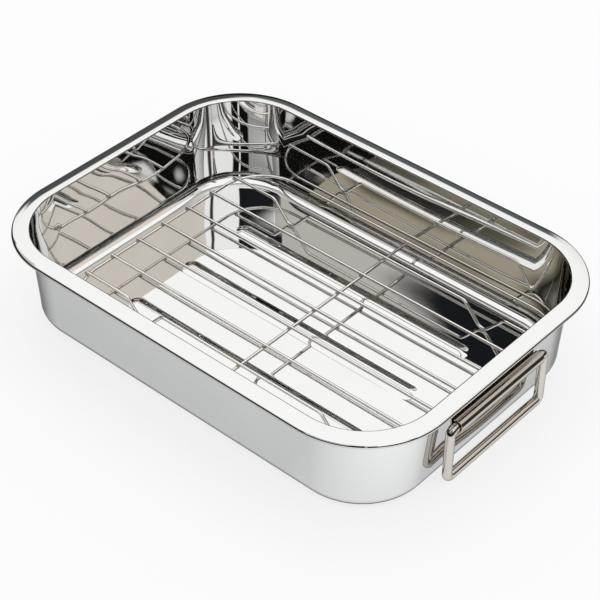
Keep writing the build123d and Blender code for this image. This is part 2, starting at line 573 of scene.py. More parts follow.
@dataclass
class Pan:
    """The pressed pan: floor with beads, drawn wall, flat flange and rolled lip."""

    rim_corner_radius: float = 68.0
    sheet: float = 0.7
    flange_width: float = 12.0
    flange_bend_radius: float = 1.5
    flange_fall_degrees: float = 15.0
    lip_radius: float = 1.8
    lip_curl_degrees: float = 250.0
    wall_draft_degrees: float = 2.8
    base_radius: float = 10.5
    bead_length: float = 230.0
    bead_width: float = 17.0
    bead_height: float = 2.0
    bead_flank: float = 8.4
    bead_row_y: float = 59.51
    corner_steps: int = 32
    # Grid lines lie close together on the beads, out to these margins past a bead's
    # cap, into its straight run and beside its row.
    cap_margin: float = 1.0
    run_margin: float = 2.0
    row_margin: float = 0.5
    cap_steps: int = 18
    run_steps: int = 26
    flank_steps: int = 11
    between_steps: int = 4
    outer_steps: int = 2
    # Steps of the section's stretches, on the inner face and on the outer one.
    floor_steps: tuple[int, int] = (7, 5)
    base_steps: tuple[int, int] = (14, 14)
    wall_steps: tuple[int, int] = (16, 14)
    bend_steps: tuple[int, int] = (7, 5)
    fall_steps: tuple[int, int] = (12, 8)
    lip_steps: tuple[int, int] = (28, 18)
    tip_steps: int = 6
    # Heights between which the walls' relief grows from the base, fades below the top,
    # and the floor's relief ends.
    relief_foot: tuple[float, float] = (4.0, 16.0)
    relief_below_top: tuple[float, float] = (16.0, 7.0)
    floor_relief_end: tuple[float, float] = (2.0, 6.0)
    end_relief: SheetRelief = SheetRelief(0.016, 36.0, 110.0, 7, 11)
    side_relief: SheetRelief = SheetRelief(0.018, 24.0, 80.0, 7, 3, (0.13, 1.0, 1.0))
    floor_relief: SheetRelief = SheetRelief(0.0035, 60.0, 150.0, 6, 5)
    finish: PolishedSteel = PolishedSteel(
        "polished_pan_sheet", "F4F4F3", 0.02, 0.015, 2.0, edge="989896"
    )

    def __post_init__(self) -> None:
        """Work out the section from the frame's box and the sizes above."""
        high = box_mm("pan")[1]
        self.rim_x, self.rim_y, self.height = high[0], high[1], high[2]
        self.corner_x = self.rim_x - self.rim_corner_radius
        self.corner_y = self.rim_y - self.rim_corner_radius
        draft = math.radians(self.wall_draft_degrees)
        self.flange_u = self.rim_corner_radius - self.flange_width
        self.lip_u = self.rim_corner_radius - self.lip_radius
        fall, run = math.radians(self.flange_fall_degrees), self.flange_width - self.lip_radius
        self.lip_z = self.height - run * math.tan(fall / 2) - self.lip_radius
        self.flange_radius = run / math.sin(fall) + self.lip_radius
        middle_bend = self.flange_bend_radius - self.sheet / 2
        middle_base = self.base_radius - self.sheet / 2
        self.bend_z = self.height - self.flange_bend_radius
        top_u = self.flange_u - middle_bend * math.cos(draft)
        top_z = self.bend_z + middle_bend * math.sin(draft)
        foot_z = self.base_radius - middle_base * math.sin(draft)
        foot_u = top_u - (top_z - foot_z) * math.tan(draft)
        self.floor_edge_u = foot_u - middle_base * math.cos(draft)

    def path_lines(self, half: float, zones: tuple[tuple[float, int], ...]) -> Array:
        """Places along a straight side: from -half to half, with given steps per zone.

        Args:
            half: half the side's length.
            zones: each zone's upper end and its steps, in order.

        Returns:
            The places, from -half to half.
        """
        places, start = [np.array([-half])], -half
        for end, steps in zones:
            places.append(np.linspace(start, end, steps + 1)[1:])
            start = end
        return np.concatenate(places)

    def side_lines(self) -> tuple[Array, Array]:
        """The grid lines of the floor's middle, close together on the beads' flanks.

        Returns:
            The places along x, and those along y.
        """
        cap, flank = self.bead_length / 2, self.bead_width / 2
        end, run = cap + self.cap_margin, cap - flank - self.run_margin
        x_zones = (
            (-end, self.outer_steps),
            (-run, self.cap_steps),
            (run, self.run_steps),
            (end, self.cap_steps),
            (self.corner_x, self.outer_steps),
        )
        y_zones: list[tuple[float, int]] = []
        for row in (-self.bead_row_y, 0.0, self.bead_row_y):
            y_zones += [
                (row - flank - self.row_margin, self.between_steps),
                (row, self.flank_steps),
                (row + flank + self.row_margin, self.flank_steps),
            ]
        y_zones.append((self.corner_y, self.outer_steps))
        return (
            self.path_lines(self.corner_x, x_zones),
            self.path_lines(self.corner_y, tuple(y_zones)),
        )

    def rim_path(self) -> tuple[Array, Array]:
        """Foot points and outward directions once round the pan.

        On a side the foot point runs along the inner rectangle and the direction stays.
        At a corner the foot point stays and the direction turns through a right angle.

        Returns:
            Foot points and unit directions, both as rows of two.
        """
        x_lines, y_lines = self.side_lines()
        turn = np.linspace(0, np.pi / 2, self.corner_steps + 1)[1:-1]
        feet, outward = [], []
        sides = (
            (x_lines, -self.corner_y, 0, (0.0, -1.0)),
            (y_lines, self.corner_x, 1, (1.0, 0.0)),
            (x_lines[::-1], self.corner_y, 0, (0.0, 1.0)),
            (y_lines[::-1], -self.corner_x, 1, (-1.0, 0.0)),
        )
        for index, (lines, fixed, axis, direction) in enumerate(sides):
            foot = np.full((len(lines), 2), fixed)
            foot[:, axis] = lines
            feet.append(foot)
            outward.append(np.broadcast_to(direction, foot.shape))
            angle = turn + (index - 1) * np.pi / 2
            feet.append(np.broadcast_to(foot[-1], (len(turn), 2)))
            outward.append(np.stack([np.cos(angle), np.sin(angle)], axis=-1))
        return np.concatenate(feet), np.concatenate(outward)

    def section(self) -> tuple[Array, Array, Array]:
        """The sheet's outline from the floor's middle over the lip and back below.

        Straight stretches and arcs about the bend centres, on the inner face first and
        then on the outer one. u runs outward from the rim's foot points and z up.

        Returns:
            Points (u, z), their outward normals, and 1 on the outer face, -1 on the inner.
        """
        draft = self.wall_draft_degrees
        points, normals, sides = [], [], []

        def arc(
            centre: tuple[float, float], radius: float, angles: Array, sense: int, side: int
        ) -> None:
            """An arc about a centre.

            Args:
                centre: the centre (u, z).
                radius: its radius.
                angles: the angles of its points, in radians.
                sense: 1 where its normals point away from the centre, -1 where to it.
                side: 1 on the outer face, -1 on the inner one.
            """
            radial = np.stack([np.cos(angles), np.sin(angles)], axis=-1)
            points.append(np.array(centre) + radius * radial)
            normals.append(sense * radial)
            sides.append(np.full(len(angles), side))

        def level(z: float, places: Array, normal_z: int, side: int) -> None:
            """A level stretch of the floor.

            Args:
                z: its height.
                places: u of its points.
                normal_z: 1 where it faces up, -1 where down.
                side: 1 on the outer face, -1 on the inner one.
            """
            points.append(np.stack([places, np.full(len(places), z)], axis=-1))
            normals.append(np.broadcast_to((0.0, float(normal_z)), (len(places), 2)))
            sides.append(np.full(len(places), side))

        def wall(end: Array, steps: int) -> None:
            """A straight stretch from the last point, square to the last normal.

            Args:
                end: the point (u, z) where the next arc begins.
                steps: how many steps it has.
            """
            start = points[-1][-1]
            share = np.linspace(0, 1, steps + 1)[1:-1, None]
            points.append(start + share * (end - start))
            normals.append(np.broadcast_to(normals[-1][-1], (steps - 1, 2)))
            sides.append(np.full(steps - 1, sides[-1][-1]))

        def spot(centre: tuple[float, float], radius: float, angle: float) -> Array:
            """The point of an arc at an angle in radians."""
            return np.array(centre) + radius * np.array([math.cos(angle), math.sin(angle)])

        def degrees(start: float, end: float, steps: int) -> Array:
            """Angles in radians, evenly from start to end in degrees."""
            return np.radians(np.linspace(start, end, steps + 1))

        base, bend = (self.floor_edge_u, self.base_radius), (self.flange_u, self.bend_z)
        lip, fall = (self.lip_u, self.lip_z), self.flange_fall_degrees
        under_flange = (self.flange_u, self.height - self.flange_radius)
        curl_end = 90 - fall - self.lip_curl_degrees
        inner_bend, outer_bend = self.flange_bend_radius, self.flange_bend_radius - self.sheet
        half = self.sheet / 2
        level(self.sheet, np.linspace(0, self.floor_edge_u, self.floor_steps[0] + 1)[:-1], 1, -1)
        arc(base, self.base_radius - self.sheet, degrees(-90, -draft, self.base_steps[0]), -1, -1)
        first = degrees(180 - draft, 90, self.bend_steps[0])
        wall(spot(bend, inner_bend, first[0]), self.wall_steps[0])
        arc(bend, inner_bend, first, 1, -1)
        down = degrees(90, 90 - fall, self.fall_steps[0])
        up = degrees(90 - fall, 90, self.fall_steps[1])
        arc(under_flange, self.flange_radius, down[1:-1], 1, -1)
        arc(lip, self.lip_radius, degrees(90 - fall, curl_end, self.lip_steps[0]), 1, -1)
        tip = spot(lip, self.lip_radius - half, math.radians(curl_end))
        arc(tuple(tip), half, degrees(curl_end, curl_end - 180, self.tip_steps)[1:-1], 1, -1)
        arc(lip, self.lip_radius - self.sheet, degrees(curl_end, 90 - fall, self.lip_steps[1]), -1, 1)
        arc(under_flange, self.flange_radius - self.sheet, up[1:-1], -1, 1)
        arc(bend, outer_bend, degrees(90, 180 - draft, self.bend_steps[1]), -1, 1)
        wall(spot(base, self.base_radius, math.radians(-draft)), self.wall_steps[1])
        arc(base, self.base_radius, degrees(-draft, -90, self.base_steps[1]), 1, 1)
        level(0.0, np.linspace(self.floor_edge_u, 0, self.floor_steps[1] + 1)[1:], -1, 1)
        return np.concatenate(points), np.concatenate(normals), np.concatenate(sides)

    def uneven(self, points: Array, normals: Array, sides: Array) -> tuple[Array, Array]:
        """Move the sheet by its relief, which fades out towards the flange and the base.

        Both faces move together by side * height * normal. A normal leans by the part of
        the gradient that lies in the surface. Round a corner the relief of the end walls
        gives way to that of the long walls, by the squares of the normal's x and y.

        Args:
            points: one row of three for each point.
            normals: their outward normals.
            sides: 1 on the outer face, -1 on the inner one.

        Returns:
            The moved points and the leaned normals.
        """
        z = points[:, 2]
        fade_start, fade_end = (self.height - below for below in self.relief_below_top)
        weight = smooth_step(z, *self.relief_foot) * (1 - smooth_step(z, fade_start, fade_end))
        level = (normals[:, 0] ** 2 + normals[:, 1] ** 2).clip(1e-9)
        share = normals[:, 0] ** 2 / level
        end_height, end_gradient = self.end_relief.height(points)
        side_height, side_gradient = self.side_relief.height(points)
        height = share * end_height + (1 - share) * side_height
        gradient = share[:, None] * end_gradient + (1 - share)[:, None] * side_gradient
        floor_gradient = self.floor_relief.height(points)[1]
        floor_weight = 1 - smooth_step(z, *self.floor_relief_end)
        floor_weight *= np.where(z < self.base_radius, 1.0, 0.0)
        gradient = gradient * weight[:, None] + floor_gradient * floor_weight[:, None]
        moved = (height * weight)[:, None] * sides[:, None] * normals
        gradient = gradient - (gradient * normals).sum(axis=1, keepdims=True) * normals
        return points + moved, unit(normals - sides[:, None] * gradient)

    def shell(self) -> Surface:
        """The wall, flange, lip and floor's edge: the section carried round the rim.

        A point is foot + u * outward in plan, with the section's z as its height.

        Returns:
            The closed band, moved by its relief.
        """
        feet, outward = self.rim_path()
        section, leaning, sides = self.section()
        rows, columns = len(feet), len(section)
        points = np.empty((rows, columns, 3))
        points[..., :2] = feet[:, None] + section[None, :, :1] * outward[:, None]
        points[..., 2] = section[None, :, 1]
        normals = np.empty((rows, columns, 3))
        normals[..., :2] = leaning[None, :, :1] * outward[:, None]
        normals[..., 2] = leaning[None, :, 1]
        all_sides = np.broadcast_to(sides, (rows, columns)).reshape(-1)
        points, normals = self.uneven(points.reshape(-1, 3), normals.reshape(-1, 3), all_sides)
        return Surface(points, normals, (grid_faces(rows, columns, True, False),))

    def bead_lift(self, x: Array, y: Array) -> tuple[Array, Array, Array]:
        """Height of the beads and its slopes.

        A bead's height falls from bead_height to 0 as a smooth step of the distance from
        its middle line, over the width of its flank.

        Args:
            x: places along the pan.
            y: places across the pan.

        Returns:
            The height and its slopes along x and y.
        """
        lift, slope_x, slope_y = np.zeros_like(x), np.zeros_like(x), np.zeros_like(x)
        half_line = (self.bead_length - self.bead_width) / 2
        outer = self.bead_width / 2
        inner = outer - self.bead_flank
        for row in (-self.bead_row_y, 0.0, self.bead_row_y):
            past = x - np.clip(x, -half_line, half_line)
            aside = y - row
            distance = np.hypot(past, aside)
            share = np.clip((distance - inner) / (outer - inner), 0, 1)
            lift += self.bead_height * (1 - share * share * (3 - 2 * share))
            fall = -self.bead_height * 6 * share * (1 - share) / (outer - inner)
            distance = np.maximum(distance, 1e-9)
            slope_x += fall * past / distance
            slope_y += fall * aside / distance
        return lift, slope_x, slope_y

    def floor(self, z: float, up: int) -> Surface:
        """One face of the floor's middle: a grid lifted by the beads.

        Args:
            z: height of the flat floor's face.
            up: 1 for the upper face and -1 for the lower one.

        Returns:
            The face, whose normal is (-slope x, -slope y, 1) times up.
        """
        x_lines, y_lines = self.side_lines()
        x, y = (part.ravel() for part in np.meshgrid(x_lines, y_lines, indexing="ij"))
        lift, slope_x, slope_y = self.bead_lift(x, y)
        points = np.stack([x, y, z + lift], axis=-1)
        normals = up * unit(np.stack([-slope_x, -slope_y, np.ones_like(x)], axis=-1))
        gradient = self.floor_relief.height(np.stack([x, y, np.full_like(x, z)], axis=-1))[1]
        gradient = gradient - (gradient * normals).sum(axis=1, keepdims=True) * normals
        return Surface(
            points,
            unit(normals + up * gradient),
            (grid_faces(len(x_lines), len(y_lines), False, False),),
        )

    def build(self) -> list[bpy.types.Object]:
        """Make the pan, which stands for the frame's pan.

        Returns:
            Its one piece, in a list.
        """
        whole = self.shell().joined(self.floor(self.sheet, 1), self.floor(0.0, -1))
        made = whole.to_object("pan_pressing", self.finish.material())
        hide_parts("pan")
        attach(made, "pan")
        return [made]


# Brackets and bails


class End(Enum):
    """The pan's two short ends, by the sign of x."""

    RIGHT = 1
    LEFT = -1


@dataclass
class HingeBracket:
    """A leaf welded to the wall and rolled round the bail's rod."""

    end: End
    leaf: float = 1.1
    leaf_height: float = 11.0
    leaf_draft_degrees: float = 2.8
    top_corner_radius: float = 4.0
    edge_round: float = 0.22
    roll_degrees: float = 300.0
    roll_inner_radius: float = 4.1
    leaf_steps: int = 14
    foot_steps: int = 6
    roll_steps: int = 60
    edge_steps: int = 3
    # The darker, warmer tone than the pan's steel is painted shade, standing in for the dark room that
    # the roll reflects.
    finish: PolishedSteel = PolishedSteel("polished_bracket_sheet_painted_shade", "D4CEC7", 0.03, 0.04, 1.5, 90.0)

    def midline(self, low: Array, high: Array) -> tuple[Array, Array]:
        """Middle line of the sheet, from the leaf's top to the end of the roll.

        Two straight runs, then an arc of roll_degrees about the rod's middle line.

        Args:
            low: lowest corner of the frame's bracket.
            high: highest corner of it.

        Returns:
            Points and unit tangents, as rows of distance from the pan's middle and z.
        """
        outside = self.roll_inner_radius + self.leaf
        middle = self.roll_inner_radius + self.leaf / 2
        centre = np.array([max(abs(low[0]), abs(high[0])) - outside, low[2] + outside])
        foot_x = min(abs(low[0]), abs(high[0])) + self.leaf / 2
        lean = self.leaf_height * math.tan(math.radians(self.leaf_draft_degrees))
        top = np.array([foot_x + lean, high[2]])
        foot = np.array([foot_x, high[2] - self.leaf_height])
        start = centre - [middle, 0]
        leaf = top + np.linspace(0, 1, self.leaf_steps + 1)[:, None] * (foot - top)
        below = foot + np.linspace(0, 1, self.foot_steps + 1)[1:, None] * (start - foot)
        angle = np.radians(np.linspace(180, 180 + self.roll_degrees, self.roll_steps + 1))[1:]
        roll = centre + middle * np.stack([np.cos(angle), np.sin(angle)], axis=-1)
        line = np.concatenate([leaf, below, roll])
        return line, unit(np.gradient(line, axis=0))

    def build(self) -> bpy.types.Object:
        """Make the bracket, which stands for the frame's bracket.

        The sheet's outline is a rectangle with rounded edges, carried along the middle
        line. Towards the leaf's top it narrows by r - sqrt(r^2 - drop^2), which rounds
        the two corners.

        Returns:
            The bracket.
        """
        side_name = self.end.name.lower()
        node = f"hinge_bracket_{side_name}"
        low, high = box_mm(node)
        line, tangent = self.midline(low, high)
        half = high[1]
        drop = np.clip(line[:, 1] - (high[2] - self.top_corner_radius), 0, None)
        short = self.top_corner_radius - np.sqrt(np.clip(self.top_corner_radius**2 - drop**2, 0, None))
        reach = half - short * (np.arange(len(line)) <= self.leaf_steps)
        r, t = self.edge_round, self.leaf / 2
        quarter = np.linspace(0, np.pi / 2, self.edge_steps + 1)
        corner = np.stack([np.cos(quarter), np.sin(quarter)], axis=-1)
        flips = ((1, 1), (-1, 1), (-1, -1), (1, -1))
        inset, offset, normal = [], [], []
        for index, (sy, st) in enumerate(flips):
            bit = corner if index % 2 == 0 else corner[::-1]
            inset.append(sy * np.ones(len(bit)))
            offset.append(np.stack([sy * r * (bit[:, 0] - 1), st * (t - r + r * bit[:, 1])], axis=-1))
            normal.append(np.stack([sy * bit[:, 0], st * bit[:, 1]], axis=-1))
        inset, offset, normal = (np.concatenate(part) for part in (inset, offset, normal))
        across = np.stack([tangent[:, 1], -tangent[:, 0]], axis=-1)
        y = reach[:, None] * inset[None] + offset[None, :, 0]
        shift = offset[None, :, 1, None] * across[:, None]
        xz = line[:, None] + shift
        points = np.stack([xz[..., 0] * self.end.value, y, xz[..., 1]], axis=-1)
        lean = normal[None, :, 1, None] * across[:, None]
        side = np.broadcast_to(normal[None, :, 0], y.shape)
        normals = np.stack([lean[..., 0] * self.end.value, side, lean[..., 1]], axis=-1)
        rows, columns = points.shape[:2]
        faces = grid_faces(rows, columns, False, True)
        shell = Surface(points.reshape(-1, 3), normals.reshape(-1, 3), (faces,))
        parts = [shell]
        for row, sense in ((0, -1), (rows - 1, 1)):
            ring = points[row]
            middle = ring.mean(axis=0, keepdims=True)
            direction = sense * np.array([tangent[row, 0] * self.end.value, 0, tangent[row, 1]])
            number = np.arange(columns)
            fan = np.stack([number, (number + 1) % columns, np.full(columns, columns)], axis=-1)
            flat = np.broadcast_to(direction, (columns + 1, 3))
            parts.append(Surface(np.concatenate([ring, middle]), flat.copy(), (fan,)))
        whole = parts[0].joined(*parts[1:])
        made = whole.to_object(f"rolled_bracket_{side_name}", self.finish.material())
        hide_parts(node)
        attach(made, "pan")
        return made


@dataclass
class Bail:
    """The drop handle: one round rod bent to a closed loop."""

    end: End
    rod_diameter: float = 7.0
    bend_radius: float = 4.0
    run_step: float = 12.0
    bend_steps: int = 14
    sides: int = 40
    # The darker, warmer tone than the pan's steel is painted shade, standing in for the dark
    # surroundings that the rod reflects.
    finish: PolishedSteel = PolishedSteel("satin_bail_rod_painted_shade", "DAD5CD", 0.05, 0.05, 1.0)

    def build(self) -> bpy.types.Object:
        """Make the bail, which stands for the frame's bail.

        Returns:
            The bail.
        """
        node = f"bail_{self.end.name.lower()}"
        low, high = box_mm(node)
        radius = self.rod_diameter / 2
        x = (low[0] + high[0]) / 2
        top, foot, side = high[2] - radius, low[2] + radius, high[1] - radius
        corners = [(x, -side, top), (x, side, top), (x, side, foot), (x, -side, foot)]
        across = (1.0, 0.0, 0.0)
        path = bent_path(corners, across, self.bend_radius, self.run_step, self.bend_steps, closed=True)
        made = round_rod(path, radius, self.sides).to_object(f"bent_{node}", self.finish.material())
        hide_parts(node)
        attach(made, node)
        return made


# The rack


@dataclass
class Rack:
    """The wire rack: frame, seven long wires, a cross wire and their welds."""

    wire_diameter: float = 2.5
    frame_corner_radius: float = 39.95
    foot_inset: float = 61.0
    foot_half_width: float = 18.0
    foot_half_flat: float = 3.0
    foot_bend_radius: float = 6.0
    wire_count: int = 7
    cut_round: float = 0.35
    cross_cut_round: float = 0.1
    sides: int = 20
    run_step: float = 8.0
    frame_bend_steps: int = 24
    foot_bend_steps: int = 8
    weld_reach: float = 1.8
    weld_half_height: float = 0.8
    weld_spread: tuple[float, float] = (0.85, 1.1)
    weld_rings: int = 10
    weld_sides: int = 16
    weld_seed: int = 29
    tint: WeldTint = WeldTint()
    # The almost black edge tint is painted shade: it darkens the wires along both edges into dark
    # outlines beside their bright tops.
    finish: PolishedSteel = PolishedSteel(
        "bright_rack_wire_painted_edge_shade", "F3F1EC", 0.02, 0.02, 1.0, edge="1E1D1B"
    )

    def place(self, made: bpy.types.Object, node: str | None = None) -> bpy.types.Object:
        """Let a piece ride on the rack, and stand for a node if one is given.

        Args:
            made: the piece.
            node: the frame's node that it replaces, if any.

        Returns:
            The piece.
        """
        if node is not None:
            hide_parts(node)
        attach(made, "rack")
        return made

    def welds(self, spots: Array) -> Surface:
        """The squeezed-out metal of the resistance welds: a flat ellipsoid at each crossing.

        A point is spot + (reach * cos b * cos a, reach * cos b * sin a, half_height * sin b),
        and its normal is that offset divided by the squares of the half axes. Each half
        axis is drawn at random within weld_spread times its size.

        Args:
            spots: the middle of each crossing, one row of three for each.

        Returns:
            All the lumps in one surface.
        """
        b = np.linspace(-np.pi / 2, np.pi / 2, self.weld_rings)[:, None]
        a = np.linspace(0, 2 * np.pi, self.weld_sides, endpoint=False)[None, :]
        ball = np.broadcast_arrays(np.cos(b) * np.cos(a), np.cos(b) * np.sin(a), np.sin(b))
        ball = np.stack(ball, axis=-1).reshape(-1, 3)
        draw = np.random.default_rng(self.weld_seed).uniform(*self.weld_spread, (len(spots), 3))
        axes = draw * np.array([self.weld_reach, self.weld_reach, self.weld_half_height])
        points = spots[:, None] + axes[:, None] * ball[None]
        normals = unit(ball[None] / axes[:, None])
        faces = grid_faces(self.weld_rings, self.weld_sides, False, True)
        starts = np.arange(len(spots))[:, None, None] * len(ball)
        every = (faces[None] + starts).reshape(-1, 4)
        return Surface(points.reshape(-1, 3), normals.reshape(-1, 3), (every,))

    def build(self) -> list[bpy.types.Object]:
        """Make every piece of the rack.

        Returns:
            The frame, the long wires, the cross wire and the welds.
        """
        material = self.finish.material()
        radius = self.wire_diameter / 2
        low, high = box_mm("rack_frame")
        centre, half = (low + high) / 2, (high - low) / 2 - radius
        z = centre[2]
        left, right = centre[0] - half[0], centre[0] + half[0]
        front, back = centre[1] - half[1], centre[1] + half[1]
        corners = [(left, front, z), (right, front, z), (right, back, z), (left, back, z)]
        upright = (0.0, 0.0, 1.0)
        path = bent_path(
            corners, upright, self.frame_corner_radius, self.run_step, self.frame_bend_steps, closed=True
        )
        rod = round_rod(path, radius, self.sides)
        pieces = [self.place(rod.to_object("drawn_rack_frame", material), "rack_frame")]
        wires = []
        for index in range(self.wire_count):
            node = f"rack_wire_{index + 1}"
            low, high = box_mm(node)
            y, top, ends = (low[1] + high[1]) / 2, high[2] - radius, (low[0], high[0])
            route = [(ends[0], y, top), (ends[1], y, top)]
            if index in (0, self.wire_count - 1):
                foot = low[2] + radius
                reach = half[0] - self.foot_inset
                dip: list[tuple[float, float, float]] = []
                for x in (centre[0] - reach, centre[0] + reach):
                    dip += [
                        (x - self.foot_half_width, y, top),
                        (x - self.foot_half_flat, y, foot),
                        (x + self.foot_half_flat, y, foot),
                        (x + self.foot_half_width, y, top),
                    ]
                route[1:1] = dip
            path = bent_path(
                route, (0.0, 1.0, 0.0), self.foot_bend_radius, self.run_step, self.foot_bend_steps
            )
            rod = round_rod(path, radius, self.sides, self.cut_round)
            pieces.append(self.place(rod.to_object(f"drawn_{node}", material), node))
            wires.append((y, top))
        low, high = box_mm("rack_cross_wire")
        x, level = (low[0] + high[0]) / 2, (low[2] + high[2]) / 2
        ends = [(x, low[1], level), (x, high[1], level)]
        path = bent_path(ends, upright, self.foot_bend_radius, self.run_step, self.foot_bend_steps)
        rod = round_rod(path, radius, self.sides, self.cross_cut_round)
        pieces.append(self.place(rod.to_object("drawn_rack_cross_wire", material), "rack_cross_wire"))
        rows = np.array(wires)
        spots = [np.array([[side, y, (z + top) / 2] for y, top in wires]) for side in (left, right)]
        spots.append(np.stack([np.full(len(rows), x), rows[:, 0], (rows[:, 1] + level) / 2], axis=-1))
        lumps = self.welds(np.concatenate(spots)).to_object("rack_welds", self.tint.material())
        pieces.append(self.place(lumps))
        return pieces


# Studio


@dataclass(frozen=True)
class Card:
    """A flag or wall of the photographer's set, which shows only in the metal.

    Attributes:
        name: what it is.
        azimuth: direction of its middle, in degrees from -Y towards +X.
        half_width: half its width, in degrees.
        low: lower edge above the horizon, in degrees.
        high: upper edge, in degrees.
        soft: width of its soft edges, in degrees.
        shade: sRGB hex of its colour.
    """

    name: str
    azimuth: float
    half_width: float
    low: float
    high: float
    soft: float
    shade: str


@dataclass(frozen=True)
class WhiteTable:
    """A matt white laminate table top, which the camera and the metal see differently.

    To the camera it is half lit and half glowing, so that it stays white and keeps a soft
    shadow. In the metal it is pale round the pan, with painted light that makes it palest at
    the right, a painted shadow as a dark line close under the base, and a dark room far off.

    Attributes:
        half_size: half its side, in millimetres.
        drop: how far it lies under the base, so that the two faces never meet.
        inner: half sides of the rectangle from which the distance away is measured.
        under: distances between which the painted shadow, a dark line under the base, ends.
        beyond: distances between which the dark room begins.
        right: x between which the pale part grows palest, as painted light.
        pale_left: sRGB hex of the pale part at the left.
        pale_right: the same at the right, made paler by painted light.
        dark: sRGB hex of the painted shadow line and of the room.
        matt: sRGB hex of the table as it lights the object.
        lit: sRGB hex of the lit half that the camera sees.
        glow: strength of the glowing half.
    """

    half_size: float = 4000.0
    drop: float = 0.05
    inner: tuple[float, float] = (122.0, 72.0)
    under: tuple[float, float] = (46.5, 52.0)
    beyond: tuple[float, float] = (143.0, 268.0)
    right: tuple[float, float] = (90.0, 220.0)
    pale_left: str = "D4D5D6"
    pale_right: str = "F8F9FA"
    dark: str = "30302F"
    matt: str = "F4F4F4"
    lit: str = "8E8E8E"
    glow: float = 0.74

    def mirrored(self, tree: bpy.types.NodeTree) -> bpy.types.NodeSocket:
        """Colour of the table in the metal.

        The distance away is the length of (|x| - inner_x, |y| - inner_y), each no less
        than zero, so that its level lines are the rim's outline shrunk or grown.

        Args:
            tree: the material's node tree.

        Returns:
            The colour's socket.
        """
        place = add_node(tree, "ShaderNodeTexCoord").outputs[Space.OBJECT.value]
        edge = (self.inner[0] * MM, self.inner[1] * MM, 0)
        steps = (("MULTIPLY", (1, 1, 0)), ("ABSOLUTE", None), ("SUBTRACT", edge), ("MAXIMUM", (0, 0, 0)))
        away = place
        for operation, value in steps:
            settings = {"operation": operation} if value is None else {"operation": operation, 1: value}
            away = add_node(tree, "ShaderNodeVectorMath", settings, {0: away}).outputs[0]
        length = {"operation": "LENGTH"}
        away = add_node(tree, "ShaderNodeVectorMath", length, {0: away}).outputs["Value"]
        start, end = (distance * MM for distance in self.beyond)
        far = add_node(
            tree,
            "ShaderNodeMapRange",
            {"interpolation_type": "SMOOTHSTEP", "From Min": start, "From Max": end},
            {"Value": away},
        ).outputs[0]
        # Painted light: the table shows paler in the metal towards the right, as if lit from that side.
        along = add_node(tree, "ShaderNodeSeparateXYZ", None, {0: place}).outputs[0]
        start, end = (distance * MM for distance in self.right)
        painted_light_share = add_node(
            tree, "ShaderNodeMapRange", {"From Min": start, "From Max": end}, {"Value": along}
        ).outputs[0]
        pale = add_node(
            tree,
            "ShaderNodeMix",
            {"data_type": "RGBA", 6: linear(self.pale_left), 7: linear(self.pale_right)},
            {0: painted_light_share},
        ).outputs[2]
        # Painted shadow: the table shows dark in the metal close under the base, where the pan shades
        # it.
        start, end = (distance * MM for distance in self.under)
        painted_shadow_share = add_node(
            tree,
            "ShaderNodeMapRange",
            {"From Min": start, "From Max": end, "To Min": 1.0, "To Max": 0.0},
            {"Value": away},
        ).outputs[0]
        dark = add_node(tree, "ShaderNodeMath", {"operation": "MAXIMUM"}, {0: far, 1: painted_shadow_share}).outputs[0]
        return add_node(
            tree, "ShaderNodeMix", {"data_type": "RGBA", 7: linear(self.dark)}, {0: dark, 6: pale}
        ).outputs[2]

    def material(self) -> bpy.types.Material:
        """Build the node material.

        Returns:
            The material, ready for a mesh.
        """
        made = bpy.data.materials.new("white_table")
        made.use_nodes = True
        tree = made.node_tree
        tree.nodes.clear()
        shade = self.mirrored(tree)
        seen = add_node(tree, "ShaderNodeBsdfDiffuse", {"Color": linear(self.matt)}).outputs[0]
        half_lit = add_node(tree, "ShaderNodeBsdfDiffuse", {"Color": linear(self.lit)}).outputs[0]
        glow = add_node(
            tree, "ShaderNodeEmission", {"Color": linear(WHITE), "Strength": self.glow}
        ).outputs[0]
        white = add_node(tree, "ShaderNodeAddShader", None, {0: half_lit, 1: glow}).outputs[0]
        in_metal = add_node(tree, "ShaderNodeEmission", {"Strength": 1.0}, {"Color": shade}).outputs[0]
        light = add_node(tree, "ShaderNodeLightPath").outputs
        for ray, shader in (("Is Glossy Ray", in_metal), ("Is Camera Ray", white)):
            links = {0: light[ray], 1: seen, 2: shader}
            seen = add_node(tree, "ShaderNodeMixShader", None, links).outputs[0]
        add_node(tree, "ShaderNodeOutputMaterial", None, {0: seen})
        return made


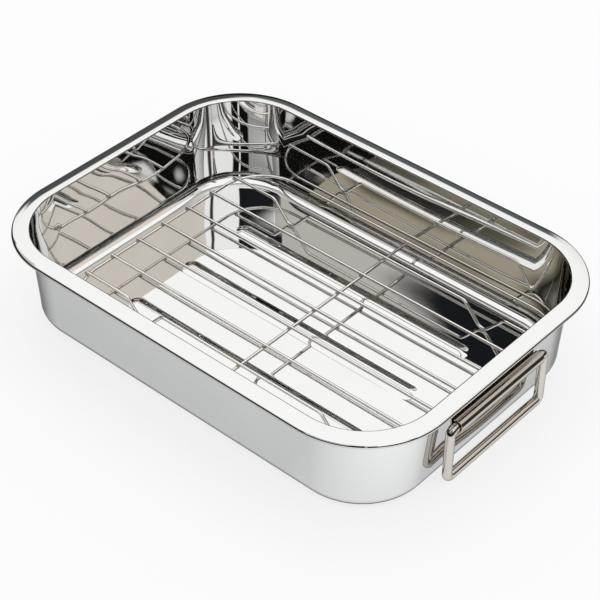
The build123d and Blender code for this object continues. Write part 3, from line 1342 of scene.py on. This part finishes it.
@dataclass
class Studio:
    """Pale table, soft light and the camera at the photograph's angle.

    Attributes:
        azimuth: the camera's direction, in degrees from -Y towards +X.
        elevation: its height above the horizon, in degrees.
        distance: from the target, in millimetres.
        target: the point in the middle of the picture, in millimetres.
        roll: its turn about its own axis, in degrees.
        focal_px: focal length, in pixels of the photograph.
        image_px: width of the photograph, in pixels.
        sensor: width of the sensor, in millimetres.
        clip: nearest and farthest distance that the camera sees, in metres.
        ceiling: sRGB hex of the white ceiling and walls in the metal.
        ceiling_strength: their strength.
        room_strength: strength of the plain white room that lights matt surfaces.
        lamp_place: where the softbox stands, in millimetres.
        lamp_size: its side, in millimetres.
        lamp_watts: its power.
        table: the table top.
        cards: what else shows in the metal; a later card covers an earlier one.
    """

    azimuth: float = 40.8
    elevation: float = 39.67
    distance: float = 1326.0
    target: tuple[float, float, float] = (4.4, -0.4, 29.5)
    roll: float = 0.66
    focal_px: float = 1812.0
    image_px: float = 600.0
    sensor: float = 36.0
    clip: tuple[float, float] = (0.05, 50.0)
    ceiling: str = "F9F9F9"
    ceiling_strength: float = 1.1
    room_strength: float = 0.8
    lamp_place: tuple[float, float, float] = (-200.0, 300.0, 1700.0)
    lamp_size: float = 1400.0
    lamp_watts: float = 3.2
    table: WhiteTable = WhiteTable()
    cards: tuple[Card, ...] = (
        Card("low_room", 0.0, 190.0, -90.0, 23.0, 5.0, "4E4E4C"),
        Card("low_window_back", 187.0, 17.0, 15.5, 30.0, 4.0, "F6F6F6"),
        Card("low_back", 213.0, 8.0, 12.0, 26.0, 3.0, "5E6264"),
        Card("low_left", 232.0, 9.0, 12.0, 28.0, 3.0, "505253"),
        Card("back_floor", 214.0, 14.0, -20.0, 13.0, 3.0, "1E1E1D"),
        Card("low_right", 108.0, 44.0, -20.0, 27.0, 5.0, "3A3731"),
        Card("warm_wall", 136.0, 26.0, 28.0, 50.0, 4.0, "DAD2CA"),
        Card("grey_board", -64.0, 40.0, 33.0, 50.0, 2.0, "C2BEB9"),
        Card("dark_room", -64.0, 42.0, -20.0, 37.0, 2.0, "151514"),
        Card("olive_band", -64.0, 42.0, 30.5, 36.2, 3.0, "615C4F"),
        Card("dark_line", -64.0, 42.0, 35.0, 35.7, 0.8, "1C1B17"),
        Card("beige_band", -64.0, 42.0, 32.2, 34.0, 1.4, "A79F8E"),
        Card("black_board", -30.0, 9.0, 40.5, 54.0, 2.5, "181A1E"),
        Card("corner_grey", 8.0, 24.0, 24.0, 33.0, 9.0, "9A9B9D"),
        Card("corner_dark", 12.0, 34.0, 40.0, 54.0, 2.5, "1B1C20"),
        Card("dark_front", 12.0, 36.0, -20.0, 21.0, 4.0, "161614"),
        Card("stand_front", 42.0, 14.0, -20.0, 39.0, 3.0, "11110F"),
        Card("strip_window", 44.0, 1.2, 8.0, 38.0, 1.2, "F2F1EE"),
        Card("shelf", 36.0, 7.0, 37.0, 38.4, 1.0, "D8D6D0"),
        Card("stand_right", 96.0, 3.0, 8.0, 50.0, 3.0, "3A3834"),
    )

    def camera(self) -> None:
        """Make the camera from its angles, distance, target and roll."""
        a, e, roll = (math.radians(v) for v in (self.azimuth, self.elevation, self.roll))
        back = Vector((math.sin(a) * math.cos(e), -math.cos(a) * math.cos(e), math.sin(e)))
        right = Vector((0, 0, 1)).cross(back).normalized()
        above = back.cross(right)
        side = right * math.cos(roll) + above * math.sin(roll)
        top = above * math.cos(roll) - right * math.sin(roll)
        data = bpy.data.cameras.new("camera")
        data.sensor_width = self.sensor
        data.lens = self.focal_px * self.sensor / self.image_px
        data.clip_start, data.clip_end = self.clip
        made = bpy.data.objects.new("camera", data)
        place = (Vector(self.target) + back * self.distance) * MM
        turn = Matrix((side, top, back)).transposed().to_4x4()
        made.matrix_world = Matrix.Translation(place) @ turn
        bpy.context.scene.collection.objects.link(made)
        bpy.context.scene.camera = made

    def floor(self) -> None:
        """The table, a flat square just under the pan."""
        half, drop = self.table.half_size, self.table.drop
        corners = [[x * half, y * half, -drop] for x, y in ((-1, -1), (1, -1), (1, 1), (-1, 1))]
        normals = np.broadcast_to(UP, (4, 3))
        surface = Surface(np.array(corners), normals, (np.array([[0, 1, 2, 3]]),))
        surface.to_object("table", self.table.material())

    def inside(
        self,
        tree: bpy.types.NodeTree,
        value: bpy.types.NodeSocket,
        low: float,
        high: float,
        soft: float,
    ) -> bpy.types.NodeSocket:
        """How far a value lies between two limits: 1 well inside and 0 outside, softly.

        Args:
            tree: the world's node tree.
            value: an angle in radians.
            low: lower limit, in degrees.
            high: upper limit, in degrees.
            soft: width of each soft edge, in degrees.

        Returns:
            The socket of the share.
        """
        middle, half = math.radians((low + high) / 2), math.radians((high - low) / 2)
        distance = value
        for settings in (
            {"operation": "SUBTRACT", 1: middle},
            {"operation": "WRAP", 1: math.pi, 2: -math.pi},
            {"operation": "ABSOLUTE"},
        ):
            distance = add_node(tree, "ShaderNodeMath", settings, {0: distance}).outputs[0]
        edge = math.radians(soft) / 2
        return add_node(
            tree,
            "ShaderNodeMapRange",
            {
                "interpolation_type": "SMOOTHSTEP",
                "From Min": half - edge,
                "From Max": half + edge,
                "To Min": 1.0,
                "To Max": 0.0,
            },
            {"Value": distance},
        ).outputs[0]

    def sky(self) -> None:
        """A white room for the camera, with the cards of the set round it in the metal.

        A direction's height is arcsin z and its azimuth arctan of x over -y. Each card
        covers what lies inside its limits. Only matt surfaces are lit by the plain room.
        """
        world = bpy.data.worlds.new("studio")
        bpy.context.scene.world = world
        world.use_nodes = True
        tree = world.node_tree
        tree.nodes.clear()
        direction = add_node(tree, "ShaderNodeTexCoord").outputs[Space.SKY.value]
        parts = add_node(tree, "ShaderNodeSeparateXYZ", None, {0: direction}).outputs
        up = add_node(tree, "ShaderNodeMath", {"operation": "ARCSINE"}, {0: parts[2]}).outputs[0]
        front = add_node(
            tree, "ShaderNodeMath", {"operation": "MULTIPLY", 1: -1.0}, {0: parts[1]}
        ).outputs[0]
        around = add_node(
            tree, "ShaderNodeMath", {"operation": "ARCTAN2"}, {0: parts[0], 1: front}
        ).outputs[0]
        colour = add_node(tree, "ShaderNodeRGB").outputs[0]
        colour.default_value = linear(self.ceiling)
        for card in self.cards:
            left, right = card.azimuth - card.half_width, card.azimuth + card.half_width
            wide = self.inside(tree, around, left, right, card.soft)
            tall = self.inside(tree, up, card.low, card.high, card.soft)
            share = add_node(
                tree, "ShaderNodeMath", {"operation": "MULTIPLY"}, {0: wide, 1: tall}
            ).outputs[0]
            colour = add_node(
                tree,
                "ShaderNodeMix",
                {"data_type": "RGBA", 7: linear(card.shade), "name": card.name},
                {0: share, 6: colour},
            ).outputs[2]
        seen = add_node(
            tree, "ShaderNodeBackground", {"Strength": self.ceiling_strength}, {"Color": colour}
        ).outputs[0]
        plain, white = (
            add_node(
                tree, "ShaderNodeBackground", {"Color": linear(WHITE), "Strength": strength}
            ).outputs[0]
            for strength in (self.room_strength, 1.0)
        )
        light = add_node(tree, "ShaderNodeLightPath").outputs
        for ray, shader in (("Is Diffuse Ray", plain), ("Is Camera Ray", white)):
            links = {0: light[ray], 1: seen, 2: shader}
            seen = add_node(tree, "ShaderNodeMixShader", None, links).outputs[0]
        add_node(tree, "ShaderNodeOutputWorld", None, {0: seen})

    def softbox(self) -> None:
        """A square soft light over the object, which stays out of the metal."""
        data = bpy.data.lights.new("overhead", "AREA")
        data.shape, data.size, data.energy = "SQUARE", self.lamp_size * MM, self.lamp_watts
        made = bpy.data.objects.new("overhead", data)
        made.location = Vector(self.lamp_place) * MM
        aim = Vector(self.target) * MM - made.location
        made.rotation_euler = aim.to_track_quat("-Z", "Y").to_euler()
        made.visible_glossy = False
        bpy.context.scene.collection.objects.link(made)

    def build(self) -> None:
        """Set up the studio and the plain view transform."""
        bpy.context.scene.view_settings.view_transform = "Standard"
        self.camera()
        self.floor()
        self.sky()
        self.softbox()


def report(pieces: list[bpy.types.Object]) -> None:
    """Work out each piece's loop triangles."""
    for piece in pieces:
        piece.data.calc_loop_triangles()


def main() -> None:
    """Build the studio, the pan with its handles and the rack."""
    logging.basicConfig(level=logging.INFO, format="%(name)s: %(message)s")
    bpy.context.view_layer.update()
    Studio().build()
    report(Pan().build())
    for end in End:
        report([HingeBracket(end).build(), Bail(end).build()])
    report(Rack().build())
    bpy.context.view_layer.update()


if __name__ == "__main__":
    main()
